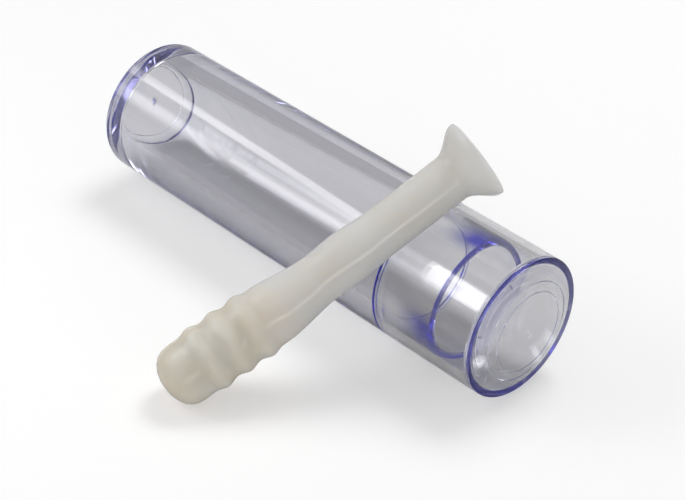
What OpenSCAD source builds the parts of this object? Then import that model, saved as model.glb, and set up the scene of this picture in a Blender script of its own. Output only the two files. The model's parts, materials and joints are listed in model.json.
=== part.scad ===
// Suction plunger for hard contact lenses, lying across its two-part storage tube.
// Three mouldings: a clear tube body, a clear push-on cap and a one-piece silicone plunger.
// Millimetres, +Z up. The tube lies along X on the surface z = 0, with its cap at the +X end.
// The plunger stands on its tail, leans on the tube and is drawn as it was moulded, straight.
// The origin is the middle of the whole set's box, on that surface.

/* [Storage tube] */
// Outside diameter of the closed tube, the same on body and cap
tube_d = 18; // [15:0.5:40]
// Length of the closed tube from the edge of one domed end to the edge of the other
case_len = 66; // [50:1:120]
// Wall of the tube body at the mouth, between its outside and its bore
body_wall = 2.05; // [1.9:0.05:3]
// How much the bore narrows in radius from its mouth down to its floor, to leave the mould
bore_draft = 1.1; // [0:0.1:1.4]
// Thickness of the tube body's closed end at its edge
floor_t = 1; // [0.8:0.1:4]
// Length of the stepped neck that the cap pushes over
neck_len = 8.55; // [4:0.05:10]
// Rounding between the bore and its floor
bore_fillet = 0.8; // [0.2:0.1:1.5]
// Rounding of the neck's rim, inside and outside
rim_round = 0.1; // [0.05:0.05:0.15]

/* [Cap] */
// Length of the cap, open rim to the edge of its domed end
cap_len = 15.25; // [13:0.05:25]
// Wall of the cap's skirt
cap_wall = 1.05; // [0.9:0.05:1.4]
// Thickness of the cap's end at its edge
cap_end_t = 1; // [0.8:0.1:2.5]
// Rounding inside the cap between skirt and end
cap_fillet = 0.2; // [0.1:0.1:1]
// Rounding of the two outer edges that meet at the seam
seam_round = 0.1; // [0.05:0.05:0.3]
// Radial clearance between the neck and the cap's skirt
neck_clear = 0.05; // [0.01:0.01:0.1]
// Gap between the cap's rim and the body's shoulder
seat_gap = 0.1; // [0.05:0.05:0.3]

/* [Domed ends] */
// Rise of each domed end above its edge
dome_h = 1.2; // [0.4:0.1:2]
// Rounding of the edge between barrel and dome
end_round = 0.35; // [0.1:0.05:0.8]
// Distance of the outer ring line on a dome from the barrel's outside
ring_inset = 2.6; // [1.5:0.1:4]
// Distance between the two ring lines
ring_step = 1.2; // [0.6:0.1:2]
// Width of a ring line
ring_w = 0.16; // [0.1:0.02:0.3]
// Depth of a ring line
ring_deep = 0.08; // [0.04:0.02:0.12]

/* [Plunger] */
// Length of the plunger, tail to cup rim
plunger_len = 44.3; // [36:0.1:60]
// Diameter of the suction cup's rim
cup_d = 9.8; // [8:0.1:14]
// Length of the flare that opens the stem into the cup
flare_len = 3.5; // [2:0.1:5]
// How late the flare opens: 1 opens it evenly, more keeps it slender for longer
flare_lag = 1.6; // [1:0.1:2]
// Length of the straight lip at the cup's rim
lip_len = 0.3; // [0.3:0.1:1]
// Thickness of the lip at the rim
lip_t = 0.45; // [0.3:0.05:0.8]
// Depth of the dish inside the cup
dish_depth = 2; // [1:0.1:3]
// Diameter of the stem behind the cup
stem_d = 5.76; // [4.4:0.02:6.8]
// Diameter of the squeeze bulb between its ribs
bulb_d = 7.5; // [6.8:0.02:9]
// Length of the bulb's rounded tail
tail_len = 2.9; // [2:0.1:4]
// Bluntness of the tail: 2 is an ellipse, more is squarer
tail_blunt = 2.2; // [2:0.1:3]
// Height of the finger ribs above the bulb
rib_h = 0.38; // [0.2:0.02:0.8]
// Spacing of the finger ribs
rib_pitch = 3.1; // [2.6:0.1:3.8]
// Number of full finger ribs
rib_count = 3; // [1:1:3]
// Height of the faint last rib, where the bulb starts to taper
faint_rib_h = 0.04; // [0:0.02:0.3]
// Length of the taper from bulb to stem
taper_len = 9; // [5:0.5:12]
// Height of the slight swelling along the stem
swell_h = 0.28; // [0:0.02:0.6]
// Length of that swelling
swell_len = 11; // [6:0.5:12]
// Wall of the hollow bulb between its ribs
bulb_wall = 1.2; // [0.8:0.1:1.6]
// Diameter of the air channel from the dish to the hollow bulb
channel_d = 1; // [0.8:0.1:1.6]

/* [How the plunger lies] */
// Rise of the plunger above the surface, in degrees
lean = 31.5; // [25:0.5:40]
// Angle between the plunger and the tube seen from above, in degrees
crossing = 71.5; // [50:0.5:90]
// Where the plunger crosses the tube, from the tube's closed end
cross_at = 50.5; // [20:0.5:60]
// Gap left between the plunger and the tube that it leans on
lean_gap = 0.1; // [0.05:0.05:0.3]

/* [Hidden] */

facets = 96;        // large rounds
dome_facets = 360;  // the domes, which use only a small part of their circle
fillet_facets = 32; // fillets and roundings
over = 1;           // how far a cutter runs past an open face

// Storage tube and cap: every inner size follows from the outside and the walls.
tube_r = tube_d / 2;
bore_r = tube_r - body_wall;
bore_foot_r = bore_r - bore_draft;
socket_r = tube_r - cap_wall;
neck_r = socket_r - neck_clear;
shoulder_at = case_len - cap_len - seat_gap;
neck_end = shoulder_at + neck_len;

// The bore's taper: its slope, the length of its wall per unit of depth and its outward normal.
bore_slope = bore_draft / (neck_end - floor_t);
bore_slant = sqrt(1 + bore_slope * bore_slope);
bore_out = [1, -bore_slope] / bore_slant;

// Domed ends: a large circle that runs into the edge's rounding without a corner.
edge_r = tube_r - end_round;
dome_reach = (edge_r * edge_r + dome_h * dome_h) / (2 * dome_h);
dome_r = dome_reach + end_round;
ring_radii = [tube_r - ring_inset, tube_r - ring_inset - ring_step];

// Plunger, measured from the tip of its tail towards the cup.
stem_r = stem_d / 2;
bulb_r = bulb_d / 2;
cup_r = cup_d / 2;
cavity_r = bulb_r - bulb_wall;
first_rib_at = tail_len + rib_pitch;
faint_rib_at = first_rib_at + rib_count * rib_pitch;
taper_start = faint_rib_at - 0.4 * rib_pitch;
swell_at = taper_start + taper_len + 0.2 * swell_len;
flare_start = plunger_len - lip_len - flare_len;
cavity_start = bulb_wall;
cavity_len = faint_rib_at - cavity_start;
lip_round = lip_t / 3;

// A smooth rise from 0 to 1 with level ends.
function ease(t) = let (k = min(max(t, 0), 1)) k * k * (3 - 2 * k);

// A smooth hump of height 1 and the given length, centred on zero.
function hump(d, len) = abs(d) < len / 2 ? (1 + cos(360 * d / len)) / 2 : 0;

// The tail's rounded end, from 0 on the axis to 1 where it meets the bulb.
function tail(u) = pow(1 - pow(1 - min(u / tail_len, 1), tail_blunt), 1 / tail_blunt);

// The flare from stem to lip: level where it leaves the stem and again where it meets the lip.
function flare(u) = sin(90 * pow(min(max((u - flare_start) / flare_len, 0), 1), flare_lag));

// Height of the finger ribs above the bulb, the faint last one included.
function ribs(u) = faint_rib_h * hump(u - faint_rib_at, rib_pitch)
    + rib_h * max([for (i = [0 : rib_count - 1]) hump(u - first_rib_at - i * rib_pitch, rib_pitch)]);

// Outside radius of the plunger at a distance u from the tip of its tail.
function plunger_r(u) = bulb_r * tail(u) + ribs(u)
    - (bulb_r - stem_r) * ease((u - taper_start) / taper_len)
    + swell_h * hump(u - swell_at, swell_len)
    + (cup_r - stem_r) * flare(u);

// Stations along the plunger, closest where its outline turns most.
tail_steps = 9;
flare_steps = 9;
rib_step = rib_pitch / 8;
stem_step = 1.1;
ribs_end = faint_rib_at + rib_pitch / 2;
stations = concat(
    [for (i = [1 : tail_steps]) tail_len * (1 - cos(90 * i / tail_steps))],
    [for (u = [tail_len + rib_step : rib_step : ribs_end]) u],
    [for (u = [ribs_end + stem_step : stem_step : flare_start - stem_step / 2]) u],
    [for (i = [0 : flare_steps]) flare_start + flare_len * i / flare_steps]);

// The outline as discs along the axis: where each stands, its radius and how far it is rounded.
discs = concat([for (u = stations) [u, plunger_r(u), 0]],
    [[plunger_len - lip_round, cup_r - lip_round, lip_round]]);

// Lowest and highest reach of the leaning plunger along an axis of the set, from its tail's tip.
// w is that axis's share of the plunger's own direction.
function lowest(w) = min([for (d = discs) d[0] * w - d[1] * sqrt(1 - w * w) - d[2]]);
function highest(w) = max([for (d = discs) d[0] * w + d[1] * sqrt(1 - w * w) + d[2]]);

// Direction of the plunger's axis, tail to cup, and the line square to it and to the tube.
way = [cos(lean) * cos(crossing), cos(lean) * sin(crossing), sin(lean)];
skew = sqrt(way[1] * way[1] + way[2] * way[2]);
square_up = [0, -way[2] / skew, way[1] / skew];

// Distance between the two axes at which the plunger just clears the tube, when the point at u on
// its axis is the one nearest the tube's, and that point when the tail stands on the surface.
function stand_off(u) = max([for (d = discs)
    let (reach = tube_r + lean_gap + d[1] + d[2], along = (d[0] - u) * skew)
    reach > abs(along) ? sqrt(reach * reach - along * along) : 0]);
function touch_at(off) = (tube_r + off * square_up[2] + lowest(way[2])) / way[2];
function settle(off, turns) = turns == 0 ? off : settle(stand_off(touch_at(off)), turns - 1);

axis_gap = settle(tube_r + lean_gap + stem_r, 6);
tail_tip = [cross_at, 0, tube_r] + axis_gap * square_up - touch_at(axis_gap) * way;

// Middle of the whole set's box, which is the origin.
mid_x = (min(-dome_h, tail_tip[0] + lowest(way[0]))
    + max(case_len + dome_h, tail_tip[0] + highest(way[0]))) / 2;
mid_y = (min(-tube_r, tail_tip[1] + lowest(way[1])) + max(tube_r, tail_tip[1] + highest(way[1]))) / 2;

// Half section of a round bar standing on y = 0, with its outer edges rounded.
module bar_section(r, len, low_round, high_round) {
    translate([0, low_round]) square([r, len - low_round - high_round]);
    square([r - low_round, len - high_round]);
    translate([0, low_round]) square([r - high_round, len - low_round]);
    if (low_round > 0)
        translate([r - low_round, low_round]) circle(r = low_round, $fn = fillet_facets);
    if (high_round > 0)
        translate([r - high_round, len - high_round]) circle(r = high_round, $fn = fillet_facets);
}

// Half section of a domed end that closes the barrel, its edge at y = 0 and its dome above.
module end_section() {
    dome_mid = [0, dome_h - dome_r];
    edge_mid = [edge_r, -end_round];
    past_joint = dome_mid + (edge_mid - dome_mid) * (dome_r + over) / dome_reach;
    difference() {
        union() {
            translate(edge_mid) circle(r = end_round, $fn = fillet_facets);
            intersection() {
                translate(dome_mid) circle(r = dome_r, $fn = dome_facets);
                polygon([[0, -end_round], edge_mid, past_joint, [0, dome_h + over]]);
            }
        }
        for (r = ring_radii)
            translate([r, dome_mid[1] + sqrt(dome_r * dome_r - r * r)])
                polygon([[0, -ring_deep], [ring_w, ring_deep], [-ring_w, ring_deep]]);
    }
}

// Half section of the bore, narrowing from the mouth to its rounded floor.
module bore_section() {
    fillet_mid = [bore_foot_r + bore_fillet * (bore_slope - bore_slant), floor_t + bore_fillet];
    past_mouth = [bore_r + over * bore_slope, neck_end + over];
    polygon([[0, floor_t], [fillet_mid[0], floor_t], fillet_mid + bore_fillet * bore_out,
        past_mouth, [0, past_mouth[1]]]);
    translate(fillet_mid) circle(r = bore_fillet, $fn = fillet_facets);
}

// What is cut away to round the inner edge of the mouth.
module mouth_section() {
    round_mid = [bore_r + rim_round * (bore_slant - bore_slope), neck_end - rim_round];
    touch = round_mid - rim_round * bore_out;
    difference() {
        polygon([touch, round_mid, [round_mid[0], neck_end + over], [bore_r - over, neck_end + over],
            [bore_r - over, touch[1]]]);
        translate(round_mid) circle(r = rim_round, $fn = fillet_facets);
    }
}

// Turns a half section into a solid of revolution about the tube's axis, closed end at x = 0.
module about_tube() {
    translate([-mid_x, -mid_y, tube_r]) rotate([0, 90, 0]) rotate_extrude($fn = facets) children();
}

// Clear body: domed closed end, tapering bore and the stepped neck that takes the cap.
module tube_body() {
    color([0.86, 0.87, 0.93, 0.4]) about_tube() difference() {
        union() {
            mirror([0, 1]) end_section();
            translate([0, end_round]) bar_section(tube_r, shoulder_at - end_round, 0, seam_round);
            bar_section(neck_r, neck_end, 0, rim_round);
        }
        bore_section();
        mouth_section();
    }
}

// Clear cap: a domed cup pushed over the neck until its rim meets the body's shoulder.
module cap() {
    color([0.80, 0.82, 0.92, 0.4]) about_tube() translate([0, case_len - cap_len]) difference() {
        union() {
            bar_section(tube_r, cap_len - end_round, seam_round, 0);
            translate([0, cap_len]) end_section();
        }
        translate([0, -over]) bar_section(socket_r, cap_len - cap_end_t + over, 0, cap_fillet);
    }
}

// Milky silicone plunger: ribbed hollow bulb, stem and suction cup in one piece.
module plunger() {
    color([0.80, 0.79, 0.74]) translate(tail_tip - [mid_x, mid_y, 0])
        rotate([0, 90 - lean, crossing]) difference() {
            rotate_extrude($fn = facets) plunger_section();
            suction_dish();
            bulb_cavity();
            air_channel();
        }
}

// Half section of the plunger's outside, tail at the origin and cup rim at the far end.
module plunger_section() {
    polygon(concat([[0, 0]], [for (u = stations) [plunger_r(u), u]], [[0, flare_start + flare_len]]));
    translate([0, flare_start + flare_len]) bar_section(cup_r, lip_len, 0, lip_round);
}

// Shallow spherical dish that leaves the thin lip of the cup.
module suction_dish() {
    dish_mouth_r = cup_r - lip_t;
    dish_r = (dish_mouth_r * dish_mouth_r + dish_depth * dish_depth) / (2 * dish_depth);
    translate([0, 0, plunger_len - dish_depth + dish_r]) sphere(r = dish_r, $fn = facets);
}

// Fine air channel along the stem, from the dish to the hollow bulb.
module air_channel() {
    translate([0, 0, cavity_start + cavity_r]) cylinder(r = channel_d / 2, h = plunger_len, $fn = facets);
}

// Hollow of the squeeze bulb: round at the tail and narrowing to the air channel.
module bulb_cavity() {
    translate([0, 0, cavity_start + cavity_r]) {
        sphere(r = cavity_r, $fn = facets);
        cylinder(r = cavity_r, h = cavity_len - 2 * cavity_r, $fn = facets);
        translate([0, 0, cavity_len - 2 * cavity_r])
            cylinder(r1 = cavity_r, r2 = channel_d / 2, h = cavity_r, $fn = facets);
    }
}

tube_body();
cap();
plunger();
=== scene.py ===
"""Looks of a contact lens plunger that lies across its clear storage tube.

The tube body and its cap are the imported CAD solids, dressed as clear moulded polystyrene.
The soft plunger is modelled here from its own outline and takes the place of its plain solid.
"""
import json
import logging
import math
from collections.abc import Iterable
from dataclasses import dataclass, field
from enum import Enum
from functools import reduce

import bmesh
import bpy
from mathutils import Euler, Matrix, Quaternion, Vector


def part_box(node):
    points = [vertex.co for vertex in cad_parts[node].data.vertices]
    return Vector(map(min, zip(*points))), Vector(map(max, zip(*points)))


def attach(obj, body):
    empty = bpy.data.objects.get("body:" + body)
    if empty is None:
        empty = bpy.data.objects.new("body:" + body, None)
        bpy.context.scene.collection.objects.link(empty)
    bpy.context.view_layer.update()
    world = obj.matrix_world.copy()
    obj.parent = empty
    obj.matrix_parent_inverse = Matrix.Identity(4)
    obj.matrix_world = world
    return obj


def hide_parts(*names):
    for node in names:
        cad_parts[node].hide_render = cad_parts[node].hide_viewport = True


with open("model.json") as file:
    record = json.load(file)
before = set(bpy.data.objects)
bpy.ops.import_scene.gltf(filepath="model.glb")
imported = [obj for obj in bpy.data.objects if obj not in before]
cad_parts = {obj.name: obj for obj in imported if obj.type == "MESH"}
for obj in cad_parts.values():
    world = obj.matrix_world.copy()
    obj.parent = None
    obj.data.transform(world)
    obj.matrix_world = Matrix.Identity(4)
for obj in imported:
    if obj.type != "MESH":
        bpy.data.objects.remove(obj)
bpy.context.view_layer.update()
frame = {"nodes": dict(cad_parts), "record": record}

MM = 0.001
# Colour sockets of a mix node: its two colours and its result.
MIX_FIRST, MIX_SECOND, MIX_COLOUR = 6, 7, 2
WHITE = "#ffffff"
# Half a diffuser's side, which its own coordinates count from 0 to 1.
HALF = 0.5

log = logging.getLogger("lens_plunger_set")


class Body(Enum):
    """Bodies of the frame that modelled pieces ride on."""

    TUBE = "tube"


class Node(Enum):
    """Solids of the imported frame."""

    TUBE_BODY = "tube_body"
    CAP = "cap"
    PLUNGER = "plunger"


class Finish(Enum):
    """Material slots of the record that modelled pieces take."""

    MILKY_SILICONE = "milky_silicone"


def linear(hex_colour: str) -> tuple[float, float, float, float]:
    """Turn an sRGB colour into the linear one that shaders use.

    Args:
        hex_colour: the colour as #rrggbb.

    Returns:
        Red, green, blue and an alpha of 1, each from 0 to 1.
    """
    parts = [int(hex_colour[i:i + 2], 16) / 255 for i in (1, 3, 5)]
    red, green, blue = (p / 12.92 if p <= 0.04045 else ((p + 0.055) / 1.055) ** 2.4 for p in parts)
    return red, green, blue, 1.0


def add_node(
    tree: bpy.types.NodeTree,
    kind: str,
    inputs: dict[str | int, object] | None = None,
    **settings: object,
) -> bpy.types.Node:
    """Add a node with its settings, its values and its links.

    Args:
        tree: the tree that takes the node.
        kind: the node's type name.
        inputs: what goes into each named or numbered socket: a plain value or another node's
            output.
        settings: the node's own properties.

    Returns:
        The new node.
    """
    node = tree.nodes.new(kind)
    for name, value in settings.items():
        setattr(node, name, value)
    for name, value in (inputs or {}).items():
        if isinstance(value, bpy.types.NodeSocket):
            tree.links.new(value, node.inputs[name])
        else:
            node.inputs[name].default_value = value
    return node


def calculate(tree: bpy.types.NodeTree, operation: str, *values: object) -> bpy.types.NodeSocket:
    """Add a math node.

    Args:
        tree: the tree that takes the node.
        operation: what the node does.
        values: plain values or other nodes' outputs, in the node's own order.

    Returns:
        The result.
    """
    return add_node(tree, "ShaderNodeMath", dict(enumerate(values)), operation=operation).outputs[0]


def calculate_vector(
    tree: bpy.types.NodeTree, operation: str, *values: object, result: str = "Vector",
) -> bpy.types.NodeSocket:
    """Add a vector math node.

    Args:
        tree: the tree that takes the node.
        operation: what the node does.
        values: plain vectors or other nodes' outputs, in the node's own order.
        result: the output to take, Vector or Value.

    Returns:
        The result.
    """
    inputs = dict(enumerate(values))
    return add_node(tree, "ShaderNodeVectorMath", inputs, operation=operation).outputs[result]


def ramp(
    tree: bpy.types.NodeTree, value: bpy.types.NodeSocket, start: float, end: float,
    first: float = 0.0, last: float = 1.0,
) -> bpy.types.NodeSocket:
    """Add a smooth ramp with level ends.

    Args:
        tree: the tree that takes the node.
        value: what the ramp follows.
        start: the value at which it begins.
        end: the value at which it is over.
        first: what it gives up to its beginning.
        last: what it gives past its end.

    Returns:
        The result.
    """
    return add_node(tree, "ShaderNodeMapRange", {
        "Value": value, "From Min": start, "From Max": end, "To Min": first, "To Max": last,
    }, interpolation_type="SMOOTHSTEP").outputs["Result"]


def mix_colours(
    tree: bpy.types.NodeTree, share: bpy.types.NodeSocket, first: object, second: object,
) -> bpy.types.NodeSocket:
    """Add a mix of two colours.

    Args:
        tree: the tree that takes the node.
        share: how much of the second colour shows, from 0 to 1.
        first: the first colour, plain or another node's output.
        second: the second colour, plain or another node's output.

    Returns:
        The mixed colour.
    """
    inputs = {"Factor": share, MIX_FIRST: first, MIX_SECOND: second}
    return add_node(tree, "ShaderNodeMix", inputs, data_type="RGBA").outputs[MIX_COLOUR]


def strongest(
    tree: bpy.types.NodeTree, masks: Iterable[bpy.types.NodeSocket],
) -> bpy.types.NodeSocket:
    """Join masks into one that is as strong as the strongest of them.

    Args:
        tree: the tree that takes the nodes.
        masks: the masks to join, one or more.

    Returns:
        The joined mask.
    """
    return reduce(lambda first, second: calculate(tree, "MAXIMUM", first, second), masks)


def new_material(name: str) -> tuple[bpy.types.Material, bpy.types.NodeTree]:
    """Start a material with an empty node tree.

    Args:
        name: the material's name.

    Returns:
        The material and its tree.
    """
    material = bpy.data.materials.new(name)
    material.use_nodes = True
    material.node_tree.nodes.clear()
    return material, material.node_tree


def clamp(value: float) -> float:
    """Limit a number to the range from 0 to 1."""
    return min(max(value, 0.0), 1.0)


def ease(share: float) -> float:
    """Rise smoothly from 0 to 1 with level ends."""
    k = clamp(share)
    return k * k * (3 - 2 * k)


def hump(offset: float, length: float) -> float:
    """Give a smooth hump of height 1 and the given length, centred on zero."""
    return (1 + math.cos(2 * math.pi * offset / length)) / 2 if abs(offset) < length / 2 else 0.0


@dataclass(frozen=True)
class PaintedShadeRim:
    """A rim painted blue as painted shade, for light that runs lengthwise through the wall. Sizes
    are in millimetres along the tube's axis.
    """

    at: float
    width: float
    # How strongly blue shade is painted on the rim, from 0 to 1.
    strength: float


@dataclass(frozen=True)
class PaintedShadeNeck:
    """The neck, painted blue as painted shade where light glances along it. Sizes are in
    millimetres.
    """

    radius: float
    # Where along the axis the neck's painted blue shade starts and where it is full, in
    # millimetres.
    painted_shade_from: float
    painted_shade_full: float


@dataclass(frozen=True)
class ClearPolystyrene:
    """Clear polystyrene, injection moulded and polished by its mould.

    It is a bright, hard plastic that bends light strongly. A trace of blue toner keeps it from
    looking yellow: a wall seen face on is almost colourless. Its rims, where the light has come
    lengthwise through the wall, and its neck, where light glances along it, get a deep violet
    blue that is painted into the surface colour as painted shade.
    """

    name: str
    rims: tuple[PaintedShadeRim, ...]
    neck: PaintedShadeNeck | None = None
    # The rims lie further than this from the axis, give or take their edge, in millimetres.
    rims_from: float = 7.25
    rims_edge: float = 0.03
    # Shares of a rim's width, off its middle, at which the painted blue shade starts to fade and is
    # gone.
    fade_from: float = 0.3
    fade_to: float = 0.6
    # How far off the neck's radius a face may lie and still be the neck, in millimetres.
    neck_slack: float = 0.06
    # How much a face has to turn from the eye for the neck's painted blue shade to start and to be
    # full.
    glance_from: float = 0.24
    glance_full: float = 0.42
    # Colour of the shade painted on the rims and the neck.
    painted_shade_blue: str = "#1414d0"
    ior: float = 1.59
    roughness: float = 0.015
    # The plastic takes toner_density * (1 - toner) of each colour per metre of light's way.
    toner: tuple[float, float, float] = (0.72, 0.715, 0.87)
    toner_density: float = 70.0

    def painted_shade_mask(self, tree: bpy.types.NodeTree, axis: Vector) -> bpy.types.NodeSocket:
        """Mark where blue shade is painted: on the rims, and on the neck where there is one.

        Args:
            tree: the material's tree.
            axis: a point on the tube's axis.

        Returns:
            A socket of painted shade, up to 1 on the rims and the neck, and 0 elsewhere.
        """
        place = add_node(tree, "ShaderNodeTexCoord").outputs["Object"]
        along = add_node(tree, "ShaderNodeSeparateXYZ", {0: place}).outputs["X"]
        from_axis = calculate_vector(tree, "SUBTRACT", place, axis)
        across = calculate_vector(tree, "MULTIPLY", from_axis, (0, 1, 1))
        radius = calculate_vector(tree, "LENGTH", across, result="Value")
        outside = add_node(tree, "ShaderNodeMapRange", {
            "Value": radius,
            "From Min": (self.rims_from - self.rims_edge) * MM,
            "From Max": (self.rims_from + self.rims_edge) * MM,
        }).outputs["Result"]
        bands = []
        for rim in self.rims:
            off = calculate(tree, "ABSOLUTE", calculate(tree, "SUBTRACT", along, rim.at * MM))
            fade = self.fade_from * rim.width * MM, self.fade_to * rim.width * MM
            bands.append(ramp(tree, off, *fade, first=rim.strength, last=0.0))
        rims = calculate(tree, "MULTIPLY", strongest(tree, bands), outside)
        if self.neck is None:
            return rims
        return strongest(tree, (rims, self.painted_neck_shade_mask(tree, self.neck, along, radius)))

    def painted_neck_shade_mask(
        self, tree: bpy.types.NodeTree, neck: PaintedShadeNeck, along: bpy.types.NodeSocket,
        radius: bpy.types.NodeSocket,
    ) -> bpy.types.NodeSocket:
        """Mark the neck's painted blue shade where light glances along it.

        Args:
            tree: the material's tree.
            neck: the neck to mark.
            along: the place along the tube's axis.
            radius: the distance from that axis.

        Returns:
            A socket that grows towards the neck's end and towards its silhouette.
        """
        on_neck = calculate(tree, "COMPARE", radius, neck.radius * MM, self.neck_slack * MM)
        reach = ramp(tree, along, neck.painted_shade_from * MM, neck.painted_shade_full * MM)
        # The neck's painted shade grows as its face turns from the eye.
        facing = add_node(tree, "ShaderNodeLayerWeight", {"Blend": 0.5}).outputs["Facing"]
        glance = ramp(tree, facing, self.glance_from, self.glance_full)
        return calculate(tree, "MULTIPLY", calculate(tree, "MULTIPLY", reach, glance), on_neck)

    def material(self, axis: Vector) -> bpy.types.Material:
        """Build the material.

        Args:
            axis: a point on the tube's axis.

        Returns:
            The material, clear with a plain absorbing volume, with blue shade painted on its rims
            and neck.
        """
        material, tree = new_material(self.name)
        # Blue shade painted into the surface colour of the rims and the neck.
        blue = self.painted_shade_mask(tree, axis)
        painted_shade_tint = mix_colours(tree, blue, linear(WHITE), linear(self.painted_shade_blue))
        shader = add_node(tree, "ShaderNodeBsdfPrincipled", {
            "Base Color": painted_shade_tint,
            "Roughness": self.roughness,
            "IOR": self.ior,
            "Transmission Weight": 1.0,
        })
        volume = add_node(tree, "ShaderNodeVolumeAbsorption", {
            "Color": (*self.toner, 1.0),
            "Density": self.toner_density,
        })
        add_node(tree, "ShaderNodeOutputMaterial", {
            "Surface": shader.outputs["BSDF"],
            "Volume": volume.outputs["Volume"],
        })
        return material


@dataclass(frozen=True)
class MilkySilicone:
    """Unpigmented silicone rubber, moulded in one piece.

    Light soaks a few millimetres into it and comes back, so it looks milky and its edges glow.
    Its skin is satin, and it yellows where it is thickest, in the bulb.
    """

    name: str
    thin_pale: str = "#eae9e7"
    thin_warm: str = "#e9e6e0"
    thick_pale: str = "#f9eddf"
    thick_warm: str = "#f7e4d0"
    # Where the thick bulb passes into the thin stem, in millimetres from the tip of the tail.
    thick_to: float = 10.0
    thin_from: float = 18.0
    # Size of the cloudy patches in millimetres, and the noise between which they pass over.
    patch_mm: float = 9.0
    cloud_from: float = 0.35
    cloud_to: float = 0.65
    # Size and depth of the moulded grain in millimetres, and how much of it the light shows.
    grain_mm: float = 0.35
    grain_depth: float = 0.02
    grain_strength: float = 0.12
    # How deep light soaks in, in millimetres, and the share of that for each colour.
    depth_mm: float = 3.0
    soak: tuple[float, float, float] = (1.0, 0.93, 0.82)
    roughness: float = 0.16
    ior: float = 1.41

    def material(self, tip: Vector, axis: Vector) -> bpy.types.Material:
        """Build the material.

        Args:
            tip: the tip of the piece's thick end.
            axis: direction from there along the piece.

        Returns:
            The material, with its cloudy colour and a faint moulded grain.
        """
        material, tree = new_material(self.name)
        place = add_node(tree, "ShaderNodeTexCoord").outputs["Object"]
        clouds = add_node(tree, "ShaderNodeTexNoise", {
            "Vector": place,
            "Scale": 1 / (self.patch_mm * MM),
            "Detail": 2.0,
            "Roughness": 0.5,
        })
        cloud = ramp(tree, clouds.outputs["Fac"], self.cloud_from, self.cloud_to)
        from_tip = calculate_vector(tree, "SUBTRACT", place, tip)
        along = calculate_vector(tree, "DOT_PRODUCT", from_tip, axis, result="Value")
        thin = ramp(tree, along, self.thick_to * MM, self.thin_from * MM)
        pale = mix_colours(tree, thin, linear(self.thick_pale), linear(self.thin_pale))
        warm = mix_colours(tree, thin, linear(self.thick_warm), linear(self.thin_warm))
        grain = add_node(tree, "ShaderNodeTexNoise", {
            "Vector": place,
            "Scale": 1 / (self.grain_mm * MM),
            "Detail": 3.0,
        })
        skin = add_node(tree, "ShaderNodeBump", {
            "Strength": self.grain_strength,
            "Distance": self.grain_depth * MM,
            "Height": grain.outputs["Fac"],
        })
        shader = add_node(tree, "ShaderNodeBsdfPrincipled", {
            "Base Color": mix_colours(tree, cloud, pale, warm),
            "Roughness": self.roughness,
            "IOR": self.ior,
            "Subsurface Weight": 1.0,
            "Subsurface Radius": self.soak,
            "Subsurface Scale": self.depth_mm * MM,
            "Normal": skin.outputs["Normal"],
        })
        add_node(tree, "ShaderNodeOutputMaterial", {"Surface": shader.outputs["BSDF"]})
        return material


@dataclass
class StorageTube:
    """The clear tube body and its push-on cap, both solids of the frame."""

    body_finish: ClearPolystyrene
    cap_finish: ClearPolystyrene

    def dress(self, nodes: dict[str, bpy.types.Object]) -> None:
        """Give both solids their plastic.

        Args:
            nodes: the frame's solids by name.
        """
        low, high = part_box(Node.TUBE_BODY.value)
        axis = (low + high) / 2
        for node, finish in ((Node.TUBE_BODY, self.body_finish), (Node.CAP, self.cap_finish)):
            piece = nodes[node.value]
            material = finish.material(axis)
            for slot in piece.material_slots:
                slot.material = material
            log.info("%s: %s, %d faces", piece.name, material.name, len(piece.data.polygons))


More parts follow.
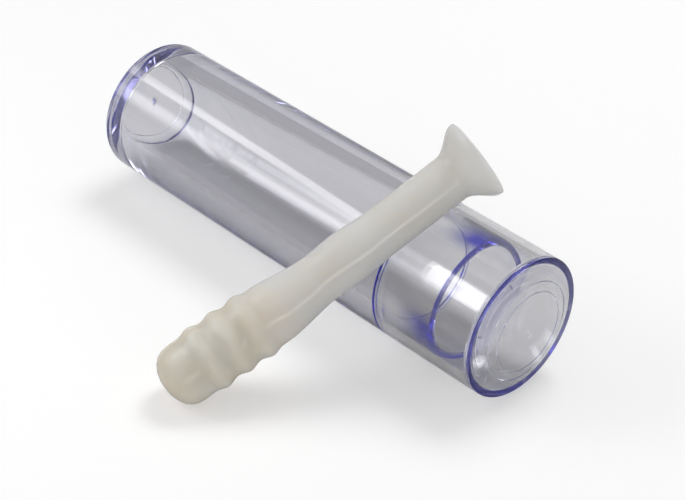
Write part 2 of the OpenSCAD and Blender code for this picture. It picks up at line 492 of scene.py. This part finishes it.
@dataclass
class LensPlunger:
    """One-piece suction plunger. All sizes are in millimetres, from the tip of its tail."""

    length: float = 44.3
    cup_d: float = 9.8
    flare_len: float = 3.5
    flare_lag: float = 1.6
    lip_len: float = 0.3
    lip_t: float = 0.45
    dish_depth: float = 2.0
    stem_d: float = 5.76
    bulb_d: float = 7.5
    tail_len: float = 2.9
    tail_blunt: float = 2.2
    rib_h: float = 0.38
    rib_pitch: float = 3.1
    rib_count: int = 3
    faint_rib_h: float = 0.04
    taper_len: float = 9.0
    # How far before the faint rib's middle the taper starts, as a share of the ribs' pitch.
    taper_lead: float = 0.4
    swell_h: float = 0.28
    swell_len: float = 11.0
    # How far past the taper's end the swelling is highest, as a share of its own length.
    swell_lag: float = 0.2
    bulb_wall: float = 1.2
    channel_d: float = 1.0
    # How far the soft stem is set aside from the bulb, over what length it bends, and how much
    # of that the cup takes back from here on.
    bow: float = 0.7
    bow_from: float = 2.0
    bow_len: float = 18.0
    back: float = 0.2
    back_from: float = 30.0
    steps_round: int = 128
    step_along: float = 0.28
    round_steps: int = 6
    # Points closer than this become one.
    weld: float = 0.002

    def outside(self, u: float) -> float:
        """Give the outside radius.

        Args:
            u: distance from the tip of the tail.

        Returns:
            The radius there.
        """
        bulb_r, stem_r, cup_r = self.bulb_d / 2, self.stem_d / 2, self.cup_d / 2
        first_rib = self.tail_len + self.rib_pitch
        faint_rib = first_rib + self.rib_count * self.rib_pitch
        taper_start = faint_rib - self.taper_lead * self.rib_pitch
        swell_at = taper_start + self.taper_len + self.swell_lag * self.swell_len
        flare_start = self.length - self.lip_len - self.flare_len
        flare = math.sin(math.pi / 2 * clamp((u - flare_start) / self.flare_len) ** self.flare_lag)
        blunt = self.tail_blunt
        tail = (1 - (1 - min(u / self.tail_len, 1)) ** blunt) ** (1 / blunt)
        full = max(
            hump(u - first_rib - i * self.rib_pitch, self.rib_pitch) for i in range(self.rib_count)
        )
        ribs = self.rib_h * full + self.faint_rib_h * hump(u - faint_rib, self.rib_pitch)
        return (
            bulb_r * tail + ribs
            - (bulb_r - stem_r) * ease((u - taper_start) / self.taper_len)
            + self.swell_h * hump(u - swell_at, self.swell_len)
            + (cup_r - stem_r) * flare
        )

    def outline(self) -> list[tuple[float, float]]:
        """Trace the half section, from the tail's tip over the lip and down the air channel.

        Returns:
            Points as radius and distance along the axis.
        """
        cup_r, channel_r = self.cup_d / 2, self.channel_d / 2
        flare_end = self.length - self.lip_len
        quarter = [math.pi / 2 * i / self.round_steps for i in range(self.round_steps + 1)]
        points = [(0.0, 0.0)]
        tail = [self.tail_len * (1 - math.cos(a)) for a in quarter[1:]]
        points += [(self.outside(u), u) for u in tail]
        stations = math.ceil((flare_end - self.tail_len) / self.step_along)
        for i in range(1, stations + 1):
            u = self.tail_len + (flare_end - self.tail_len) * i / stations
            points.append((self.outside(u), u))
        lip_round = self.lip_t / 3
        lip_r, lip_u = cup_r - lip_round, self.length - lip_round
        points += [
            (lip_r + lip_round * math.cos(a), lip_u + lip_round * math.sin(a)) for a in quarter
        ]
        mouth_r = cup_r - self.lip_t
        dish_r = (mouth_r ** 2 + self.dish_depth ** 2) / (2 * self.dish_depth)
        widest, narrowest = math.asin(mouth_r / dish_r), math.asin(channel_r / dish_r)
        dish_steps = 4 * self.round_steps
        for i in range(dish_steps + 1):
            a = widest + (narrowest - widest) * i / dish_steps
            rise = dish_r * (1 - math.cos(a))
            points.append((dish_r * math.sin(a), self.length - self.dish_depth + rise))
        cavity_r = self.bulb_d / 2 - self.bulb_wall
        faint_rib = self.tail_len + (self.rib_count + 1) * self.rib_pitch
        points += [(channel_r, faint_rib), (cavity_r, faint_rib - cavity_r)]
        points += [
            (cavity_r * math.cos(a), self.bulb_wall + cavity_r * (1 - math.sin(a)))
            for a in quarter[:-1]
        ]
        points.append((0.0, self.bulb_wall))
        return points

    def sideways(self, u: float) -> float:
        """Give how far the axis is bent aside.

        Args:
            u: distance from the tip of the tail.

        Returns:
            The offset there.
        """
        taken_back = self.back * ease((u - self.back_from) / (self.length - self.back_from))
        return self.bow * ease((u - self.bow_from) / self.bow_len) - taken_back

    def build(self, rim: Vector, axis: Vector, aside: Vector) -> bpy.types.Object:
        """Turn the outline about the axis, bow it and put it in its place.

        Args:
            rim: middle of the cup's rim, in metres.
            axis: direction of the plunger, tail to cup.
            aside: direction in which the stem bows, square to the axis.

        Returns:
            The finished piece.
        """
        mesh = bmesh.new()
        points = [mesh.verts.new((r * MM, 0, u * MM)) for r, u in self.outline()]
        edges = [mesh.edges.new(pair) for pair in zip(points, points[1:])]
        bmesh.ops.spin(
            mesh, geom=points + edges, cent=(0, 0, 0), axis=(0, 0, 1), dvec=(0, 0, 0),
            angle=2 * math.pi, steps=self.steps_round, use_merge=True, use_duplicate=False,
        )
        bmesh.ops.remove_doubles(mesh, verts=mesh.verts, dist=self.weld * MM)
        bmesh.ops.recalc_face_normals(mesh, faces=mesh.faces)
        place = Matrix((aside, axis.cross(aside), axis)).transposed().to_4x4()
        place.translation = rim - axis * self.length * MM
        for vert in mesh.verts:
            vert.co.x += self.sideways(vert.co.z / MM) * MM
        bmesh.ops.transform(mesh, matrix=place, verts=mesh.verts)
        for face in mesh.faces:
            face.smooth = True
        data = bpy.data.meshes.new("lens_plunger")
        mesh.to_mesh(data)
        mesh.free()
        piece = bpy.data.objects.new("lens_plunger", data)
        bpy.context.scene.collection.objects.link(piece)
        return piece

    def dress(
        self, piece: bpy.types.Object, finish: MilkySilicone, rim: Vector, axis: Vector,
    ) -> None:
        """Give the piece its silicone and put it in the frame in its solid's place.

        Args:
            piece: the modelled plunger.
            finish: its silicone.
            rim: middle of the cup's rim, in metres.
            axis: direction of the plunger, tail to cup.
        """
        piece.data.materials.append(finish.material(rim - axis * self.length * MM, axis))
        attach(piece, Body.TUBE.value)
        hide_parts(Node.PLUNGER.value)
        log.info("%s: %s, %d faces", piece.name, finish.name, len(piece.data.polygons))


@dataclass(frozen=True)
class Softbox:
    """A rectangular lamp with a diffuser, which looks at the middle of the set.

    Angles are in degrees and sizes in metres.
    """

    name: str
    azimuth: float
    elevation: float
    distance: float
    width: float
    height: float
    radiance: float
    target: tuple[float, float, float] | None = None
    # Share of the diffuser's width and height over which its light falls off at each edge.
    feather: float = 0.35

    def soften(self, tree: bpy.types.NodeTree) -> None:
        """Let the light fall off towards the edges of the diffuser.

        Args:
            tree: the lamp's tree.
        """
        tree.nodes.clear()
        spot = add_node(tree, "ShaderNodeNewGeometry").outputs["Parametric"]
        from_middle = calculate_vector(tree, "SUBTRACT", spot, (HALF, HALF, 0))
        across = calculate_vector(tree, "ABSOLUTE", from_middle)
        sides = add_node(tree, "ShaderNodeSeparateXYZ", {0: across})
        shares = [
            ramp(tree, sides.outputs[side], HALF - self.feather, HALF, first=1.0, last=0.0)
            for side in ("X", "Y")
        ]
        share = calculate(tree, "MULTIPLY", *shares)
        glow = add_node(tree, "ShaderNodeEmission", {"Strength": share})
        add_node(tree, "ShaderNodeOutputLight", {"Surface": glow.outputs[0]})

    def build(self, middle: Vector) -> None:
        """Put the lamp in the scene.

        Args:
            middle: the point that it looks at, unless it has a target of its own.
        """
        target = Vector(self.target) if self.target else middle
        light = bpy.data.lights.new(self.name, "AREA")
        light.shape = "RECTANGLE"
        light.size = self.width
        light.size_y = self.height
        light.energy = self.radiance * math.pi * self.width * self.height
        light.use_nodes = True
        self.soften(light.node_tree)
        lamp = bpy.data.objects.new(self.name, light)
        turn = Euler((0, -math.radians(self.elevation), math.radians(self.azimuth))).to_matrix()
        towards = turn @ Vector((1, 0, 0))
        lamp.location = target + towards * self.distance
        lamp.rotation_mode = "QUATERNION"
        lamp.rotation_quaternion = (-towards).to_track_quat("-Z", "Y")
        lamp.visible_camera = False
        bpy.context.scene.collection.objects.link(lamp)


@dataclass
class Studio:
    """Pale floor, soft lamps, pale surroundings and the camera. Sizes are in metres."""

    floor_colour: str = "#dadada"
    floor_size: float = 6.0
    floor_drop: float = 0.02 * MM
    backdrop_lift: float = 0.445
    # Share of that lift which shows in mirrors and through the clear walls.
    mirrored_lift: float = 0.26
    # Light of the surroundings overhead and at the horizon, and the heights between which the
    # one passes into the other, as the upward share of a line of sight.
    ambient: float = 0.36
    horizon: float = 0.33
    horizon_to: float = 0.15
    ambient_from: float = 0.45
    lamps: list[Softbox] = field(default_factory=lambda: [
        Softbox(
            "overhead_softbox", azimuth=100, elevation=62, distance=0.7,
            width=0.45, height=0.40, radiance=8.2,
        ),
        Softbox(
            "strip_softbox", azimuth=-151, elevation=43.5, distance=2.0,
            width=1.40, height=0.28, radiance=2.8, feather=0.25,
        ),
        Softbox(
            "low_softbox", azimuth=-140, elevation=22, distance=0.6,
            width=0.44, height=0.20, radiance=2.2,
        ),
        Softbox(
            "fill_softbox", azimuth=-25, elevation=9, distance=0.8,
            width=1.10, height=0.22, radiance=3.9,
        ),
        Softbox(
            "card_softbox", azimuth=-131, elevation=35, distance=0.15,
            width=0.11, height=0.09, radiance=2.9, feather=0.5,
            target=(26 * MM, 6 * MM, 16 * MM),
        ),
    ])
    # Line of sight: its direction, the roll of the picture, the middle of view and its distance.
    view_azimuth: float = 134.684
    view_pitch: float = -33.408
    view_roll: float = 3.485
    view_middle: tuple[float, float] = (8.061 * MM, 7.530 * MM)
    view_distance: float = 234.41 * MM
    lens_mm: float = 102.3146
    sensor_mm: float = 36.0
    nearest_seen: float = 5 * MM
    # How often light may turn in all, and by gloss or through clear walls.
    bounces: int = 48
    clear_bounces: int = 40

    def seen_directly(self, tree: bpy.types.NodeTree, mirrored: float) -> bpy.types.NodeSocket:
        """Tell rays of the picture, its mirrors and its glass from rays that light the set.

        Args:
            tree: the tree that needs to know.
            mirrored: the value for rays that come by way of gloss or glass.

        Returns:
            A socket of 1 where the camera sees the surface straight, the given value where it
            sees it by way of gloss or glass, and 0 for the rays that gather light.
        """
        path = add_node(tree, "ShaderNodeLightPath")
        glossy, through = path.outputs["Is Glossy Ray"], path.outputs["Is Transmission Ray"]
        share = calculate(tree, "MULTIPLY", calculate(tree, "MAXIMUM", glossy, through), mirrored)
        seen = calculate(tree, "MAXIMUM", path.outputs["Is Camera Ray"], share)
        # A ray that has met no matt surface yet has a depth of 0 there, and any other 1 or more.
        first = calculate(tree, "LESS_THAN", path.outputs["Diffuse Depth"], 0.5)
        return calculate(tree, "MULTIPLY", seen, first)

    def floor_material(self) -> bpy.types.Material:
        """Build the floor's paper, which reads white where no shadow lies on it.

        Returns:
            The material.
        """
        material, tree = new_material("white_paper")
        paper = add_node(tree, "ShaderNodeBsdfDiffuse", {"Color": linear(self.floor_colour)})
        seen = self.seen_directly(tree, self.mirrored_lift)
        lift = calculate(tree, "MULTIPLY", seen, self.backdrop_lift)
        glow = add_node(tree, "ShaderNodeEmission", {"Strength": lift})
        both = add_node(tree, "ShaderNodeAddShader", {0: paper.outputs[0], 1: glow.outputs[0]})
        add_node(tree, "ShaderNodeOutputMaterial", {"Surface": both.outputs[0]})
        return material

    def build_floor(self) -> None:
        """Lay the floor just under the set."""
        mesh = bmesh.new()
        bmesh.ops.create_grid(mesh, x_segments=1, y_segments=1, size=self.floor_size / 2)
        bmesh.ops.translate(mesh, vec=(0, 0, -self.floor_drop), verts=mesh.verts)
        data = bpy.data.meshes.new("floor")
        mesh.to_mesh(data)
        mesh.free()
        data.materials.append(self.floor_material())
        floor = bpy.data.objects.new("floor", data)
        bpy.context.scene.collection.objects.link(floor)

    def build_world(self) -> None:
        """Surround the set with a pale room, darker towards its horizon."""
        world = bpy.data.worlds.new("pale_room")
        bpy.context.scene.world = world
        world.use_nodes = True
        tree = world.node_tree
        tree.nodes.clear()
        way = add_node(tree, "ShaderNodeTexCoord").outputs["Generated"]
        height = add_node(tree, "ShaderNodeSeparateXYZ", {0: way}).outputs["Z"]
        walls = ramp(
            tree, height, self.horizon_to, self.ambient_from, first=self.horizon, last=self.ambient,
        )
        strength = add_node(tree, "ShaderNodeMapRange", {
            "Value": self.seen_directly(tree, self.mirrored_lift), "To Min": walls, "To Max": 1.0,
        })
        air = add_node(tree, "ShaderNodeBackground", {"Strength": strength.outputs["Result"]})
        add_node(tree, "ShaderNodeOutputWorld", {"Surface": air.outputs[0]})

    def build_camera(self, middle: Vector) -> None:
        """Set up the camera on its line of sight.

        Args:
            middle: the point in the middle of the picture.
        """
        data = bpy.data.cameras.new("camera")
        data.lens = self.lens_mm
        data.sensor_width = self.sensor_mm
        data.clip_start = self.nearest_seen
        camera = bpy.data.objects.new("camera", data)
        pitch, azimuth = math.radians(self.view_pitch), math.radians(self.view_azimuth)
        turn = Euler((0, -pitch, azimuth)).to_matrix()
        forward = turn @ Vector((1, 0, 0))
        camera.location = middle - forward * self.view_distance
        camera.rotation_mode = "QUATERNION"
        level = forward.to_track_quat("-Z", "Y")
        camera.rotation_quaternion = level @ Quaternion((0, 0, 1), math.radians(self.view_roll))
        bpy.context.scene.collection.objects.link(camera)
        bpy.context.scene.camera = camera

    def set_light_paths(self) -> None:
        """Let light run along the clear walls as far as it does in the real plastic."""
        scene = bpy.context.scene
        scene.view_settings.view_transform = "Standard"
        scene.cycles.max_bounces = self.bounces
        scene.cycles.glossy_bounces = self.clear_bounces
        scene.cycles.transmission_bounces = self.clear_bounces

    def build(self, middle: Vector) -> None:
        """Build the whole studio.

        Args:
            middle: the point in the middle of the picture.
        """
        self.build_camera(middle)
        self.build_floor()
        self.build_world()
        for lamp in self.lamps:
            lamp.build(middle)
        self.set_light_paths()
        log.info("studio: floor, %d lamps and camera", len(self.lamps))


def plunger_place() -> tuple[Vector, Vector, Vector]:
    """Read from the frame's record how the plunger lies.

    Returns:
        The middle of its rim, its direction and the direction in which it bows, which is square
        to both its axis and its closest line to the tube, so that it keeps clear of the tube.
    """
    mount = next(m for m in frame["record"]["mounts"] if m["name"] == "suction_cup")
    rim, axis = Vector(mount["pos_m"]), Vector(mount["axis"]).normalized()
    off_the_tube = Vector((1, 0, 0)).cross(axis).normalized()
    return rim, axis, axis.cross(off_the_tube).normalized()


def main() -> None:
    """Build the studio, dress the tube and model the plunger."""
    logging.basicConfig(level=logging.INFO, format="%(name)s: %(message)s")
    studio = Studio()
    low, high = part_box(Node.TUBE_BODY.value)
    studio.build(Vector((*studio.view_middle, (low.z + high.z) / 2)))
    tube = StorageTube(
        body_finish=ClearPolystyrene(
            "clear_polystyrene_body",
            # Rims of the body that get painted blue shade.
            rims=(
                PaintedShadeRim(at=-33.0, width=0.3, strength=0.12),
                PaintedShadeRim(at=17.65, width=0.34, strength=1.0),
                PaintedShadeRim(at=26.2, width=0.3, strength=1.0),
            ),
            # The neck gets painted blue shade where light glances along it.
            neck=PaintedShadeNeck(radius=7.9, painted_shade_from=20.0, painted_shade_full=25.0),
        ),
        cap_finish=ClearPolystyrene(
            "clear_polystyrene_cap",
            # Rims of the cap that get painted blue shade.
            rims=(
                PaintedShadeRim(at=17.75, width=0.2, strength=0.9),
                PaintedShadeRim(at=32.9, width=0.26, strength=0.95),
            ),
        ),
    )
    tube.dress(frame["nodes"])
    plunger = LensPlunger()
    rim, axis, aside = plunger_place()
    piece = plunger.build(rim, axis, aside)
    plunger.dress(piece, MilkySilicone("milky_silicone_rubber"), rim, axis)


if __name__ == "__main__":
    main()
